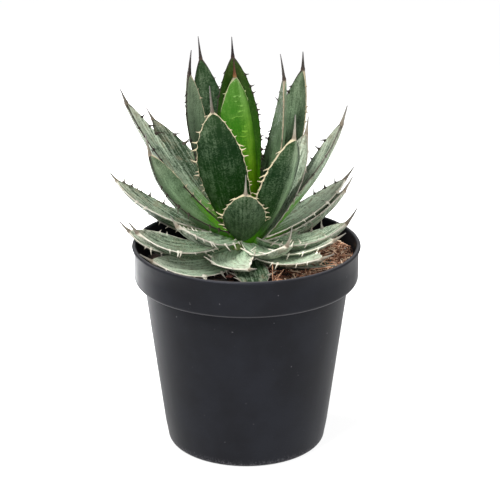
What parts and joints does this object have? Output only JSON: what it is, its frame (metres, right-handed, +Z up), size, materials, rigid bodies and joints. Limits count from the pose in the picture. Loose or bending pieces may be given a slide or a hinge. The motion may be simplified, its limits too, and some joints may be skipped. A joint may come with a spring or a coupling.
{
  "type": "potted agave",
  "caption": "Agave horrida in a round plastic nursery pot: a rosette of stiff, channelled, toothed leaves with end spines on a short stem, standing in coarse soil",
  "frame": {"origin": "centre of the pot's flat base, on the surface that it stands on", "axes": "+Z up through the pot, -Y towards the side that faces the viewer, +X to the viewer's right"},
  "size_m": [0.1923, 0.2028, 0.3088],
  "materials": {
    "pot": "satin",
    "soil": "matte",
    "stem": "matte",
    "leaf_young": "satin",
    "leaf_inner": "satin",
    "leaf_outer": "satin"
  },
  "bodies": {
    "root": {"pot": "pot", "soil": "soil", "stem": "stem", "leaf_01": "leaf_young", "leaf_02": "leaf_young", "leaf_03": "leaf_inner", "leaf_04": "leaf_inner", "leaf_05": "leaf_inner", "leaf_06": "leaf_inner", "leaf_07": "leaf_inner", "leaf_08": "leaf_inner", "leaf_09": "leaf_inner", "leaf_10": "leaf_inner", "leaf_11": "leaf_outer", "leaf_12": "leaf_outer", "leaf_13": "leaf_inner", "leaf_14": "leaf_outer", "leaf_15": "leaf_outer", "leaf_16": "leaf_outer", "leaf_17": "leaf_outer", "leaf_18": "leaf_outer", "leaf_19": "leaf_outer", "leaf_20": "leaf_outer", "leaf_21": "leaf_outer", "leaf_22": "leaf_outer", "leaf_23": "leaf_outer", "leaf_24": "leaf_outer", "leaf_25": "leaf_outer", "leaf_26": "leaf_outer", "leaf_27": "leaf_outer", "leaf_28": "leaf_outer", "leaf_29": "leaf_outer", "leaf_30": "leaf_outer", "leaf_31": "leaf_outer", "leaf_32": "leaf_outer", "leaf_33": "leaf_outer"}
  },
  "joints": []
}
